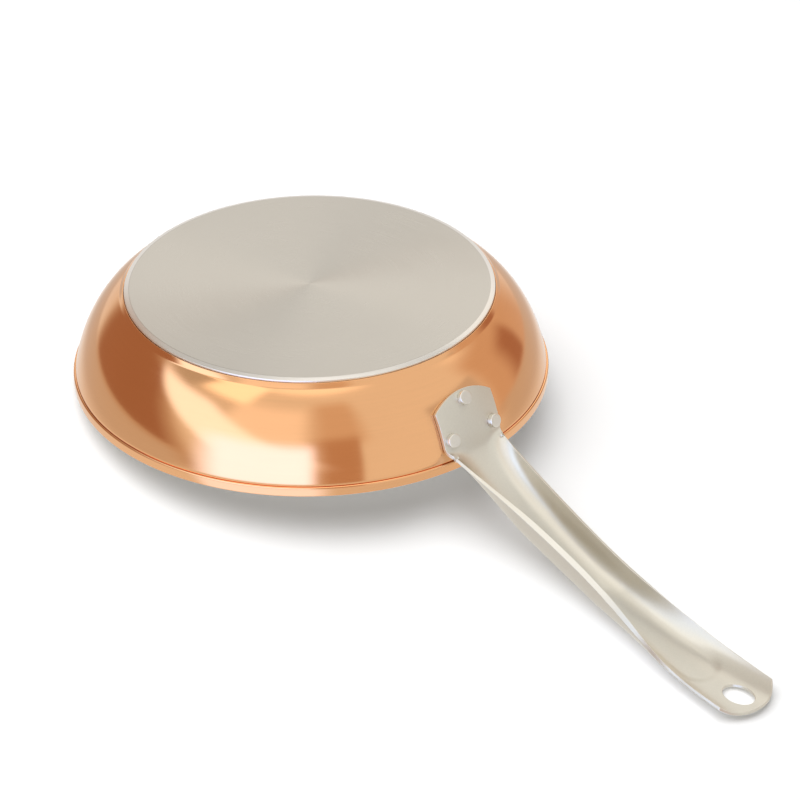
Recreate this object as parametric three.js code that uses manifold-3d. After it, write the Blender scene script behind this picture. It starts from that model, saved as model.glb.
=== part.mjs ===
// Copper frying pan with a steel disc in its base and a riveted channel handle.
// Millimetres, +Z up. The origin is the centre of the base face and the handle points along +X.
import * as THREE from 'three';
import { mergeVertices } from 'three/addons/utils/BufferGeometryUtils.js';
import Module from 'manifold-3d';

const wasm = await Module();
wasm.setup();

// Bowl, outside
const rimRadius = 120;
const panHeight = 49.8;
const bandHeight = 4.9;
const bandProud = 1.0;
const bandRound = 0.6;
const grooveWidth = 0.6;
const grooveDepth = 0.4;
const lipStartRise = 1.5;
const lipWidth = 1.8;
const lipRise = 2.3;
const bulgeInset = 6.25;
const bulgeHeight = 17.7;

// Layers, from the outside in
const jacketThickness = 1.0;
const coreThickness = 2.2;
const coreBase = 4.2;
const liningThickness = 0.6;
const bondGap = 0.1;
const filletMeetsWall = 0.3;

// Steel disc in the base
const discRadius = 93;
const discThickness = 1.7;
const discBevelWidth = 2.6;
const discBevelDrop = 0.7;
const discJoint = 0.6;

// Handle sheet
const sheet = 2.5;
const endSheet = 1.5;
const thinLength = 95;
const thinEven = 45;
const seatGap = 0.3;
const footDrop = 4.4;
const bendLength = 3.0;
const tabHalfWidth = 18.2;
const tabTopRadius = 32;
const waistHalfWidth = 12.35;
const endHalfWidth = 18.6;
const waistFromRim = 81.5;
const handleReach = 193;
const widenLength = 90;
const edgeAngle = THREE.MathUtils.degToRad(19.24);
const edgeLift = -0.4;
const levelLength = 60;
const levelRise = 10.0;
const endDepth = 3.1;
const crownLeave = new THREE.Vector2(8, 18.8);
const crownArrive = new THREE.Vector2(89, 0.5);
const dishPower = 3.4;
const trayLength = 65;
const trayEven = 35;
const trayPower = 4;
const endArcRadius = 22;
const hangLength = 17.4;
const hangWidth = 13;
const hangFromTip = 13.4;

// Rivets
const shankRadius = 2.2;
const shankClearance = 0.2;
const rivetHalfPitch = 13.2;
const pairBelowGroove = 10.3;
const topBelowPair = 15;
const tabBeyondTop = 4.5;
const tailRadius = 3.5;
const tailHeight = 2.6;
const tailRound = 0.8;
const tailGap = 0.1;
const headRadius = 4.8;
const headHeight = 2.2;
const headGap = 0.45;

// Facets
const bowlFacets = 64;
const wallSteps = 7;
const filletSteps = 4;
const sectionSteps = 12;
const tabSteps = 7;
const bendSteps = 4;
const gripSteps = 26;
const gripCrowding = 1.15;
const rivetFacets = 20;

// How far a cutting block runs past what it cuts
const cutMargin = 12;
const tabSpare = 4;

const copper = new THREE.MeshStandardMaterial({ color: 0xc77a45, roughness: 0.32, metalness: 1 });
const aluminium = new THREE.MeshStandardMaterial({ color: 0xb9bbbd, roughness: 0.5, metalness: 1 });
const brushedSteel = new THREE.MeshStandardMaterial({ color: 0xc4beb4, roughness: 0.38, metalness: 1 });
const satinSteel = new THREE.MeshStandardMaterial({ color: 0xcac4b6, roughness: 0.3, metalness: 1 });

const discTop = discThickness;
const coreBottom = discTop + bondGap;
const coreFloor = coreBottom + coreBase;
const liningUnderside = coreFloor + bondGap;
const cookingFloor = liningUnderside + liningThickness;
const coreOffset = jacketThickness + bondGap;
const coreInner = coreOffset + coreThickness;
const liningOffset = coreInner + bondGap;
const wallThickness = liningOffset + liningThickness;
const grooveHeight = panHeight - bandHeight - grooveWidth;

const lipStart = new THREE.Vector2(discRadius + discJoint, lipStartRise);
const wallCurve = new THREE.QuadraticBezierCurve(
  new THREE.Vector2(lipStart.x + lipWidth, lipStart.y + lipRise),
  new THREE.Vector2(rimRadius - bulgeInset, bulgeHeight),
  new THREE.Vector2(rimRadius - bandProud, grooveHeight),
);

/** Point of the outer wall's outline, moved inward by a distance; x is the radius and y the height. */
function wallPoint(t, inward) {
  const tangent = wallCurve.getTangent(t);
  const point = wallCurve.getPoint(t);
  return new THREE.Vector2(point.x - tangent.y * inward, point.y + tangent.x * inward);
}

/** Where the outer wall reaches a height, as the curve's parameter. */
function wallParameter(height) {
  let low = 0;
  let high = 1;
  for (let i = 0; i < 40; i++) {
    const middle = (low + high) / 2;
    if (wallCurve.getPoint(middle).y < height) low = middle;
    else high = middle;
  }
  return low;
}

function range(count) {
  return Array.from({ length: count + 1 }, (_, i) => i / count);
}

/** The outline from the steep lip beside the disc up to the groove, moved inward. */
function wallLine(inward) {
  const side = new THREE.Vector2(-lipRise, lipWidth).setLength(inward);
  return [lipStart.clone().add(side), ...range(wallSteps).map((t) => wallPoint(t, inward))];
}

/** Inside of a layer: flat floor, round corner, then the wall's outline up to a height. */
function insideLine(inward, floor, top) {
  const meet = wallPoint(filletMeetsWall, inward);
  const slope = wallCurve.getTangent(filletMeetsWall).angle();
  const radius = (meet.y - floor) / (1 - Math.cos(slope));
  const centre = new THREE.Vector2(meet.x - radius * Math.sin(slope), floor + radius);
  const fillet = range(filletSteps).map((f) => {
    const angle = slope * f;
    return new THREE.Vector2(centre.x + radius * Math.sin(angle), centre.y - radius * Math.cos(angle));
  });
  const steps = range(wallSteps - 2).slice(1);
  const wall = steps.map((f) => wallPoint(filletMeetsWall + (1 - filletMeetsWall) * f, inward));
  return [new THREE.Vector2(0, floor), ...fillet, ...wall, new THREE.Vector2(wall.at(-1).x, top)];
}

/** Part of a line above a height, starting exactly at that height. */
function cutBelow(line, height) {
  const first = line.findIndex((p) => p.y > height);
  if (first === 0) return [new THREE.Vector2(line[0].x, height), ...line];
  const [a, b] = [line[first - 1], line[first]];
  const start = a.clone().lerp(b, (height - a.y) / (b.y - a.y));
  return [start, ...line.slice(first)];
}

/** Quarter round from one point to another, bulging toward a corner. */
function roundCorner(from, corner, to) {
  return new THREE.QuadraticBezierCurve(from, corner, to).getPoints(3);
}

/** Geometry with shared vertices and outward faces. */
function tidy(geometry) {
  const bare = geometry.index ? geometry.clone() : geometry;
  bare.deleteAttribute('normal');
  bare.deleteAttribute('uv');
  const merged = mergeVertices(bare, 1e-4);
  const index = Array.from(merged.index.array);
  const kept = [];
  for (let i = 0; i < index.length; i += 3) {
    const [a, b, c] = index.slice(i, i + 3);
    if (a !== b && b !== c && c !== a) kept.push(a, b, c);
  }
  const p = merged.getAttribute('position');
  const corner = [new THREE.Vector3(), new THREE.Vector3(), new THREE.Vector3()];
  let volume = 0;
  for (let i = 0; i < kept.length; i += 3) {
    corner.forEach((v, k) => v.fromBufferAttribute(p, kept[i + k]));
    volume += corner[0].dot(corner[1].clone().cross(corner[2]));
  }
  if (volume < 0) kept.reverse();
  merged.setIndex(kept);
  return merged;
}

function toManifold(geometry) {
  const g = tidy(geometry);
  const vertProperties = Float32Array.from(g.getAttribute('position').array);
  const triVerts = Uint32Array.from(g.index.array);
  return new wasm.Manifold(new wasm.Mesh({ numProp: 3, vertProperties, triVerts }));
}

function toGeometry(manifold) {
  const mesh = manifold.getMesh();
  const geometry = new THREE.BufferGeometry();
  geometry.setAttribute('position', new THREE.BufferAttribute(mesh.vertProperties, 3));
  geometry.setIndex(new THREE.BufferAttribute(mesh.triVerts, 1));
  geometry.computeVertexNormals();
  return geometry;
}

function named(name, manifold, material) {
  const mesh = new THREE.Mesh(toGeometry(manifold), material);
  mesh.name = name;
  return mesh;
}

/** Solid made by turning an outline of radius and height about the vertical axis. */
function turned(points, facets = bowlFacets) {
  const onAxis = points[0].x === 0;
  const outline = onAxis ? points : [...points, points[0]];
  return toManifold(new THREE.LatheGeometry(outline, facets).rotateX(Math.PI / 2));
}

// Rivet places on the wall

const pairHeight = grooveHeight - pairBelowGroove;
const topHeight = pairHeight - topBelowPair;

/** Place and outward direction of a rivet that stands square on the wall at a height and a sideways distance. */
function rivetPlace(height, sideways) {
  const t = wallParameter(height);
  const radius = wallCurve.getPoint(t).x;
  const tangent = wallCurve.getTangent(t);
  const turn = Math.asin(sideways / radius);
  const axis = new THREE.Vector3(tangent.y, 0, -tangent.x);
  const point = new THREE.Vector3(radius, 0, height);
  const up = new THREE.Vector3(0, 0, 1);
  return { point: point.applyAxisAngle(up, turn), axis: axis.applyAxisAngle(up, turn) };
}

const rivets = {
  rivet_top: rivetPlace(topHeight, 0),
  rivet_left: rivetPlace(pairHeight, rivetHalfPitch),
  rivet_right: rivetPlace(pairHeight, -rivetHalfPitch),
};

/** Moves a shape made along +Y to a rivet's place. */
function atRivet(geometry, place) {
  const turn = new THREE.Quaternion().setFromUnitVectors(new THREE.Vector3(0, 1, 0), place.axis);
  return geometry.applyQuaternion(turn).translate(place.point.x, place.point.y, place.point.z);
}

const rivetHoles = Object.values(rivets).map((place) => {
  const length = 2 * (wallThickness + seatGap + sheet + cutMargin);
  const hole = new THREE.CylinderGeometry(
    shankRadius + shankClearance, shankRadius + shankClearance, length, rivetFacets);
  return toManifold(atRivet(hole, place));
});

function drilled(manifold) {
  return rivetHoles.reduce((body, hole) => body.subtract(hole), manifold);
}

// Bowl layers

function copperJacket() {
  const wallTop = rimRadius - bandProud;
  const grooveFloor = wallTop - grooveDepth;
  const bandBottom = grooveHeight + grooveWidth;
  const inner = wallLine(jacketThickness);
  const innerTop = new THREE.Vector2(inner.at(-1).x, panHeight);
  const groove = [
    new THREE.Vector2(grooveFloor, grooveHeight),
    new THREE.Vector2(grooveFloor, bandBottom),
  ];
  const lowerRound = roundCorner(
    new THREE.Vector2(rimRadius - bandRound, bandBottom),
    new THREE.Vector2(rimRadius, bandBottom),
    new THREE.Vector2(rimRadius, bandBottom + bandRound),
  );
  const upperRound = roundCorner(
    new THREE.Vector2(rimRadius, panHeight - bandRound),
    new THREE.Vector2(rimRadius, panHeight),
    new THREE.Vector2(rimRadius - bandRound, panHeight),
  );
  const outline = [...wallLine(0), ...groove, ...lowerRound, ...upperRound, innerTop, ...inner.reverse()];
  return drilled(turned(outline));
}

function aluminiumCore() {
  const top = panHeight - liningThickness - bondGap;
  const outer = cutBelow(wallLine(coreOffset), coreBottom);
  const outerTop = new THREE.Vector2(outer.at(-1).x, top);
  const inner = insideLine(coreInner, coreFloor, top);
  const outline = [new THREE.Vector2(0, coreBottom), ...outer, outerTop, ...inner.reverse()];
  return drilled(turned(outline));
}

function steelLining() {
  const lipUnder = panHeight - liningThickness;
  const lipEdge = wallPoint(1, coreOffset).x;
  const outer = insideLine(liningOffset, liningUnderside, lipUnder);
  const inner = insideLine(wallThickness, cookingFloor, panHeight);
  const lip = [new THREE.Vector2(lipEdge, lipUnder), new THREE.Vector2(lipEdge, panHeight)];
  return drilled(turned([...outer, ...lip, ...inner.reverse()]));
}

function inductionDisc() {
  return turned([
    new THREE.Vector2(0, 0),
    new THREE.Vector2(discRadius - discBevelWidth, 0),
    new THREE.Vector2(discRadius, discBevelDrop),
    new THREE.Vector2(discRadius, discTop),
    new THREE.Vector2(0, discTop),
  ]);
}

// Handle: a sheet laid along a centre line, wrapped on the wall at the tab and dished along the grip

const sheetOffset = seatGap + sheet / 2;
const footHeight = grooveHeight - footDrop;
const foot = wallPoint(wallParameter(footHeight), -sheetOffset);
const tipX = rimRadius + handleReach;
const edgeTurnX = tipX - levelLength;
const edgeSlope = Math.tan(edgeAngle);
const edgeTurn = new THREE.Vector2(edgeTurnX, foot.y + edgeLift + edgeSlope * (edgeTurnX - foot.x));
const edgeTip = new THREE.Vector2(tipX, edgeTurn.y + levelRise);
const tip = new THREE.Vector2(tipX, edgeTip.y + endDepth);
const crown = new THREE.CubicBezierCurve(foot, foot.clone().add(crownLeave), tip.clone().sub(crownArrive), tip);
const levelCorner = new THREE.Vector2(edgeTurn.x + levelLength / 3, edgeTurn.y + edgeSlope * levelLength / 3);
const level = new THREE.QuadraticBezierCurve(edgeTurn, levelCorner, edgeTip);

/** Height of the handle's two long edges at a distance from the bowl's axis. */
function edgeHeight(x) {
  if (x <= edgeTurn.x) return edgeTurn.y + edgeSlope * (x - edgeTurn.x);
  const a = edgeTurn.x - 2 * levelCorner.x + edgeTip.x;
  const b = 2 * (levelCorner.x - edgeTurn.x);
  const t = (-b + Math.sqrt(b * b + 4 * a * (x - edgeTurn.x))) / (2 * a);
  return level.getPoint(Math.min(t, 1)).y;
}

/** Half the handle's width at a distance from the bowl's axis. */
function halfWidth(x) {
  const waist = rimRadius + waistFromRim;
  if (x <= foot.x) return tabHalfWidth;
  if (x <= waist) {
    const f = (waist - x) / (waist - foot.x);
    return waistHalfWidth + (tabHalfWidth - waistHalfWidth) * f * f;
  }
  const widen = THREE.MathUtils.smoothstep(x, waist, waist + widenLength);
  return waistHalfWidth + (endHalfWidth - waistHalfWidth) * widen;
}

/** Depth of the dish under a point of the crown line, down to the straight edges. */
function dishDepth(point, tangent) {
  const closing = tangent.x + edgeSlope * tangent.y;
  let depth = 0;
  for (let i = 0; i < 12; i++) {
    depth += (point.y - depth * tangent.x - edgeHeight(point.x + depth * tangent.y)) / closing;
  }
  return Math.max(depth, 0);
}

/** Stations along the sheet's centre line: place, direction, dish depth, and how far it has left the wall. */
function stations() {
  const tabTop = topHeight - tabBeyondTop - tabSpare;
  const list = [];
  for (const f of range(tabSteps)) {
    const height = THREE.MathUtils.lerp(tabTop, footHeight - bendLength, f);
    const t = wallParameter(height);
    const tangent = wallCurve.getTangent(t);
    list.push({ point: wallPoint(t, -sheetOffset), tangent, depth: 0, free: 0 });
  }
  const bendEnd = crown.getUtoTmapping(bendLength / crown.getLength());
  const bend = new THREE.QuadraticBezierCurve(list.at(-1).point, foot, crown.getPoint(bendEnd));
  for (const f of range(bendSteps).slice(1)) {
    list.push({ point: bend.getPoint(f), tangent: bend.getTangent(f), depth: 0, free: f * f * (3 - 2 * f) });
  }
  for (const f of range(gripSteps).slice(1)) {
    const t = bendEnd + (1 - bendEnd) * Math.pow(f, gripCrowding);
    list.push({ point: crown.getPoint(t), tangent: crown.getTangent(t), depth: 0, free: 1 });
  }
  const last = list.at(-1);
  const beyond = last.tangent.clone().multiplyScalar(bendLength);
  list.push({ point: last.point.clone().add(beyond), tangent: last.tangent, depth: 0, free: 1 });
  for (const s of list) {
    s.depth = s.free * dishDepth(s.point, s.tangent);
  }
  return list;
}

/** Share of the dish's depth at an angle from its middle: flat in the middle, with steep sides. */
function dish(angle) {
  const side = Math.pow(Math.abs(Math.sin(angle)), dishPower);
  return 1 - Math.pow(1 - side, 1 / dishPower);
}

/** Thickness of the sheet, which thins toward the handle's end. */
function sheetAt(x) {
  return sheet + (endSheet - sheet) * THREE.MathUtils.smoothstep(x, tipX - thinLength, tipX - thinEven);
}

/**
 * One cross-row of the sheet's middle surface: wrapped round the bowl at the tab, a channel open to the
 * underside along the grip and a flat tray with turned-up sides at the end.
 */
function sheetRow({ point, tangent, depth, free }) {
  const half = halfWidth(point.x + depth * tangent.y) - free * sheetAt(point.x) / 2;
  const reach = Math.min(Math.PI / 2, 2 * Math.atan2(depth, half));
  const tray = THREE.MathUtils.smoothstep(point.x, tipX - trayLength, tipX - trayEven);
  return range(sectionSteps).map((f) => {
    const side = 2 * f - 1;
    const angle = reach * side;
    const y = depth > 0.01 ? half * Math.sin(angle) / Math.sin(reach) : half * side;
    const arc = depth > 0.01 ? dish(angle) / dish(reach) : 0;
    const drop = depth * THREE.MathUtils.lerp(arc, Math.pow(Math.abs(side), trayPower), tray);
    const wrap = (1 - free) * (point.x - Math.sqrt(point.x * point.x - y * y));
    return new THREE.Vector3(point.x + drop * tangent.y - wrap, y, point.y - drop * tangent.x);
  });
}

/** Closed solid about a grid of points, with a thickness for each row. */
function thickened(grid, thicknesses) {
  const rows = grid.length;
  const columns = grid[0].length;
  const clampRow = (i) => Math.min(Math.max(i, 0), rows - 1);
  const clampColumn = (j) => Math.min(Math.max(j, 0), columns - 1);
  const positions = [];
  for (const side of [1, -1]) {
    for (let i = 0; i < rows; i++) {
      for (let j = 0; j < columns; j++) {
        const along = grid[clampRow(i + 1)][j].clone().sub(grid[clampRow(i - 1)][j]);
        const across = grid[i][clampColumn(j + 1)].clone().sub(grid[i][clampColumn(j - 1)]);
        const normal = along.cross(across).normalize();
        const p = grid[i][j].clone().addScaledVector(normal, side * thicknesses[i] / 2);
        positions.push(p.x, p.y, p.z);
      }
    }
  }
  const at = (side, i, j) => side * rows * columns + i * columns + j;
  const index = [];
  const quad = (a, b, c, d) => index.push(a, b, c, a, c, d);
  for (let i = 0; i < rows - 1; i++) {
    for (let j = 0; j < columns - 1; j++) {
      quad(at(0, i, j), at(0, i + 1, j), at(0, i + 1, j + 1), at(0, i, j + 1));
      quad(at(1, i, j), at(1, i, j + 1), at(1, i + 1, j + 1), at(1, i + 1, j));
    }
    quad(at(0, i, 0), at(1, i, 0), at(1, i + 1, 0), at(0, i + 1, 0));
    quad(at(0, i, columns - 1), at(0, i + 1, columns - 1), at(1, i + 1, columns - 1), at(1, i, columns - 1));
  }
  for (let j = 0; j < columns - 1; j++) {
    quad(at(0, 0, j), at(0, 0, j + 1), at(1, 0, j + 1), at(1, 0, j));
    quad(at(0, rows - 1, j), at(1, rows - 1, j), at(1, rows - 1, j + 1), at(0, rows - 1, j + 1));
  }
  const geometry = new THREE.BufferGeometry();
  geometry.setAttribute('position', new THREE.Float32BufferAttribute(positions, 3));
  geometry.setIndex(index);
  return geometry;
}

/** Round end of the handle seen from above, as a tall block. */
function endBlock() {
  const width = Math.max(tabHalfWidth, endHalfWidth) + cutMargin;
  const start = Math.asin(Math.min(1, endHalfWidth / endArcRadius));
  const centreX = tipX - endArcRadius;
  const shape = new THREE.Shape();
  shape.moveTo(0, -width);
  shape.lineTo(centreX + endArcRadius * Math.cos(start), -width);
  shape.absarc(centreX, 0, endArcRadius, -start, start, false);
  shape.lineTo(centreX + endArcRadius * Math.cos(start), width);
  shape.lineTo(0, width);
  const depth = tip.y + panHeight;
  return toManifold(new THREE.ExtrudeGeometry(shape, { depth, bevelEnabled: false, curveSegments: 20 }));
}

/** Round top of the tab seen along the handle, as a long block. */
function tabBlock() {
  const width = Math.max(tabHalfWidth, endHalfWidth) + cutMargin;
  const apex = topHeight - tabBeyondTop;
  const start = Math.asin(Math.min(1, tabHalfWidth / tabTopRadius));
  const corner = apex + tabTopRadius * (1 - Math.cos(start));
  const ceiling = tip.y + panHeight;
  const shape = new THREE.Shape();
  shape.moveTo(-width, corner);
  shape.absarc(0, apex + tabTopRadius, tabTopRadius, -Math.PI / 2 - start, -Math.PI / 2 + start, false);
  shape.lineTo(width, corner);
  shape.lineTo(width, ceiling);
  shape.lineTo(-width, ceiling);
  const depth = tipX + rimRadius;
  const block = new THREE.ExtrudeGeometry(shape, { depth, bevelEnabled: false, curveSegments: 20 });
  return toManifold(block.rotateX(Math.PI / 2).rotateZ(Math.PI / 2));
}

/** Oval hanging hole, as a tall block. */
function hangBlock() {
  const shape = new THREE.Shape();
  shape.absellipse(tipX - hangFromTip, 0, hangLength / 2, hangWidth / 2, 0, 2 * Math.PI, false, 0);
  const depth = tip.y + panHeight;
  return toManifold(new THREE.ExtrudeGeometry(shape, { depth, bevelEnabled: false, curveSegments: 28 }));
}

function handle() {
  const line = stations();
  const thicknesses = line.map((s) => sheetAt(s.point.x));
  const body = toManifold(thickened(line.map(sheetRow), thicknesses));
  const shaped = body.intersect(endBlock()).intersect(tabBlock()).subtract(hangBlock());
  return drilled(shaped);
}

/** Rivet with a domed head inside the bowl and a flat round-edged tail outside the tab; zero is the wall's face. */
function rivet(place) {
  const tailBottom = seatGap + sheet + tailGap;
  const tailTop = tailBottom + tailHeight;
  const headFace = -(wallThickness + headGap);
  const headTop = headFace - headHeight;
  const dome = new THREE.QuadraticBezierCurve(
    new THREE.Vector2(0, headTop),
    new THREE.Vector2(headRadius, headTop),
    new THREE.Vector2(headRadius, headFace),
  ).getPoints(4);
  const tailEdge = roundCorner(
    new THREE.Vector2(tailRadius, tailTop - tailRound),
    new THREE.Vector2(tailRadius, tailTop),
    new THREE.Vector2(tailRadius - tailRound, tailTop),
  );
  const outline = [
    ...dome,
    new THREE.Vector2(shankRadius, headFace),
    new THREE.Vector2(shankRadius, tailBottom),
    new THREE.Vector2(tailRadius, tailBottom),
    ...tailEdge,
    new THREE.Vector2(0, tailTop),
  ];
  return toManifold(atRivet(new THREE.LatheGeometry(outline, rivetFacets), place));
}

const pan = new THREE.Group();
pan.add(named('copper_jacket', copperJacket(), copper));
pan.add(named('aluminium_core', aluminiumCore(), aluminium));
pan.add(named('steel_lining', steelLining(), satinSteel));
pan.add(named('induction_disc', inductionDisc(), brushedSteel));
pan.add(named('handle', handle(), satinSteel));
for (const [name, place] of Object.entries(rivets)) {
  pan.add(named(name, rivet(place), satinSteel));
}

export default pan;
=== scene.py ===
"""Looks of a copper frying pan with a riveted steel handle, dressed on its CAD frame.

The pan stands on its base in the frame, with +Z up and the handle along +X. The picture shows it upside down,
leaning on its rim and the end of its handle, so the camera looks from below and the floor is a tilted plane.
"""
import math

import bpy
import numpy as np
from mathutils import Matrix, Vector


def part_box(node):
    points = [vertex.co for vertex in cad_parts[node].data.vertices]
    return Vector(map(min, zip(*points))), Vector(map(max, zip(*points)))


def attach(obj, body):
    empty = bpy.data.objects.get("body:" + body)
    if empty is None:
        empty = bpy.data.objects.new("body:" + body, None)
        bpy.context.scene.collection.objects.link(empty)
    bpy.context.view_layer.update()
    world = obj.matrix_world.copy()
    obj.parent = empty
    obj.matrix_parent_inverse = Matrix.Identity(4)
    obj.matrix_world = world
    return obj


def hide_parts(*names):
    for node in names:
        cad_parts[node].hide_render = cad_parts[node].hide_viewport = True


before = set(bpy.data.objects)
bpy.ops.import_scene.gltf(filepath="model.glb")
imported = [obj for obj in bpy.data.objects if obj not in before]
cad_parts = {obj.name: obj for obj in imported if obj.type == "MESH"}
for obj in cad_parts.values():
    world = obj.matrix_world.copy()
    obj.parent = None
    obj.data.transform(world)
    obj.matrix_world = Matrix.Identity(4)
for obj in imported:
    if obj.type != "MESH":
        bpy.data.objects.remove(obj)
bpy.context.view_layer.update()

# Lengths are in millimetres, apart from the floors' side and the lamps' size and places, which are in metres
MM = 0.001

# Driving sizes, read from the frame
RIM_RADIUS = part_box("copper_jacket")[1].x / MM
PAN_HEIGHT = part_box("copper_jacket")[1].z / MM
DISC_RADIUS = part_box("induction_disc")[1].x / MM
DISC_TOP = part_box("induction_disc")[1].z / MM
TIP_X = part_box("handle")[1].x / MM

# Bowl, outside
BAND_HEIGHT = 4.9
BAND_PROUD = 1.0
BAND_LOWER_ROUND = 0.8
BAND_UPPER_ROUND = 0.5
GROOVE_WIDTH = 0.6
GROOVE_DEPTH = 0.35
GROOVE_SIDE = 0.12
GROOVE_HEIGHT = PAN_HEIGHT - BAND_HEIGHT - GROOVE_WIDTH
LIP_START_RISE = 1.5
LIP_WIDTH = 1.8
LIP_RISE = 2.3
LIP_ROUND = 0.3
LIP_KINK_ROUND = 0.5
BULGE_INSET = 6.25
BULGE_HEIGHT = 17.7

# Layers
JACKET = 1.0
LINING = 0.6
WALL = 4.0
COOKING_FLOOR = DISC_TOP + 5.0
FILLET_MEETS_WALL = 0.3
LIP_EDGE_INSET = 1.1

# Steel disc in the base
DISC_JOINT = 0.6
DISC_BEVEL_WIDTH = 2.6
DISC_BEVEL_DROP = 0.7
DISC_EDGE_ROUND = 0.25

# Handle sheet
SHEET = 2.5
END_SHEET = 1.5
ROOT_SHEET = 1.5
ROOT_START = 2.0
ROOT_GROW = 58.0
THIN_LENGTH = 95.0
THIN_EVEN = 45.0
SEAT_GAP = 0.3
FOOT_DROP = 4.4
BEND_LENGTH = 3.0
TAB_HALF = 18.2
TAB_TOP_RADIUS = 32.0
WAIST_HALF = 12.35
END_HALF = 18.6
WAIST_FROM_RIM = 81.5
WIDEN_LENGTH = 90.0
EDGE_SLOPE = math.tan(math.radians(19.24))
EDGE_LIFT = -0.4
LEVEL_LENGTH = 60.0
LEVEL_RISE = 10.0
LEVEL_LEAD = LEVEL_LENGTH / 3
END_DEPTH = 3.1
CROWN_LEAVE = np.array([8.0, 18.8])
CROWN_ARRIVE = np.array([89.0, 0.5])
DISH_POWER = 3.4
TRAY_LENGTH = 65.0
TRAY_EVEN = 35.0
TRAY_POWER = 4
SCOOP_FROM_TIP = 42.0
SCOOP_LENGTH = 14.0
SCOOP_HALF = 13.5
SCOOP_FADE = 40.0
SCOOP_EDGE = 0.6
SCOOP_DEPTH = 0.9
END_ARC_RADIUS = 22.0
HANG_LENGTH = 17.4
HANG_WIDTH = 13.0
HANG_FROM_TIP = 13.4
EDGE_ROUND = 0.4
EDGE_SLANT = math.tan(math.radians(32))
EDGE_SLANT_GROW = 50.0
EDGE_SLANT_FADE = 60.0

# Rivets
RIVET_HALF_PITCH = 13.2
PAIR_BELOW_GROOVE = 10.3
TOP_BELOW_PAIR = 15.0
TAB_BEYOND_TOP = 4.5
TAB_SPARE = 2.0
TAIL_RADIUS = 3.5
TAIL_HEIGHT = 2.6
TAIL_ROUND = 0.5
HEAD_RADIUS = 4.8
HEAD_HEIGHT = 2.2
HEAD_GAP = 0.45
SHANK_RADIUS = 2.2

# Finer mesh round the hanging hole: its margins, and its loops as shares of the way in to the hole's edge
PATCH_BACK = 3.0
PATCH_FRONT = 2.4
PATCH_SIDE = 3.0
PATCH_SHARES = (0.3, 0.55, 0.75, 0.9, 1.0)

# Fineness
TURNS = 256
RIVET_TURNS = 48
WALL_STEPS = 48
ROUND_STEPS = 6
FILLET_STEPS = 18
FLOOR_STEPS = 9
DISC_STEPS = 12
DOME_STEPS = 12
CURVE_SAMPLES = 2001
TAB_STATIONS = 60
BEND_STATIONS = 24
CROWN_SAMPLES = 800
CROWN_STATIONS = 500
HANDLE_ROWS = 210
HANDLE_COLUMNS = 40
ROUNDED_STEPS = 3

# Rounds in which a place on the sheet is closed in on
DEPTH_ROUNDS = 12
TIP_ROUNDS = 6
PLACE_ROUNDS = 20

# Angles in degrees past which a mesh edge is sharp, and past which it is rounded
SHARP_ANGLE = 35
DISC_SHARP_ANGLE = 12
ROUNDED_ANGLE = 40

# Small steps and limits on the sheet's surface
LEAST_REACH = 0.01
STEP_ALONG = 0.05
STEP_ACROSS = 0.01
JUST_INSIDE = 0.98
AT_EDGE = 0.999
TINY = 1e-9
ON_AXIS = 1e-6

# Camera, in degrees and millimetres
VIEW_AZIMUTH = 42.55
VIEW_BELOW = 31.42
VIEW_ROLL = -0.51
VIEW_AIM = (64.8, -1.2, 40.0)
VIEW_DISTANCE = 2232.6
LENS = 202.5
SENSOR = 36
AZIMUTH = math.radians(VIEW_AZIMUTH)
VIEW_TOWARD = Vector((math.cos(AZIMUTH), math.sin(AZIMUTH), 0))
VIEW_RIGHT = Vector((math.sin(AZIMUTH), -math.cos(AZIMUTH), 0))
PICTURE_UP = Vector((0, 0, -1))


# Curves

def bezier(points, t):
    """Points of a Bezier curve at the parameters t."""
    layers = [np.asarray(p, float)[None, :] for p in points]
    t = np.atleast_1d(np.asarray(t, float))[:, None]
    while len(layers) > 1:
        layers = [a * (1 - t) + b * t for a, b in zip(layers, layers[1:])]
    return layers[0] + np.zeros_like(t)


def bezier_direction(points, t):
    """Unit tangents of a Bezier curve at the parameters t."""
    points = [np.asarray(p, float) for p in points]
    steps = [b - a for a, b in zip(points, points[1:])]
    direction = bezier(steps, t)
    return direction / np.linalg.norm(direction, axis=1)[:, None]


def smooth(low, high, x):
    """Smooth step from 0 at low to 1 at high."""
    f = np.clip((x - low) / (high - low), 0, 1)
    return f * f * (3 - 2 * f)


LIP_START = np.array([DISC_RADIUS + DISC_JOINT, LIP_START_RISE])
LIP_LINE = np.array([LIP_WIDTH, LIP_RISE])
WALL_CURVE = [
    tuple(LIP_START + LIP_LINE),
    (RIM_RADIUS - BULGE_INSET, BULGE_HEIGHT),
    (RIM_RADIUS - BAND_PROUD, GROOVE_HEIGHT),
]


def wall_points(t, inward):
    """Outline of the outer wall, radius and height, moved inward by a distance."""
    tangent = bezier_direction(WALL_CURVE, t)
    side = np.stack([-tangent[:, 1], tangent[:, 0]], axis=1)
    return bezier(WALL_CURVE, t) + side * inward


def wall_parameter(height):
    """Where the outer wall reaches a height, as the curve's parameter."""
    t = np.linspace(0, 1, CURVE_SAMPLES)
    return np.interp(height, bezier(WALL_CURVE, t)[:, 1], t)


def round_corner(start, corner, end):
    """Points of a soft corner between two points beside it."""
    return bezier([start, corner, end], np.linspace(0, 1, ROUND_STEPS))


# Meshes

def facing(direction):
    """Turn that points a thing's own +Z in a direction."""
    return direction.to_track_quat("Z", "Y").to_matrix().to_4x4()


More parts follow.
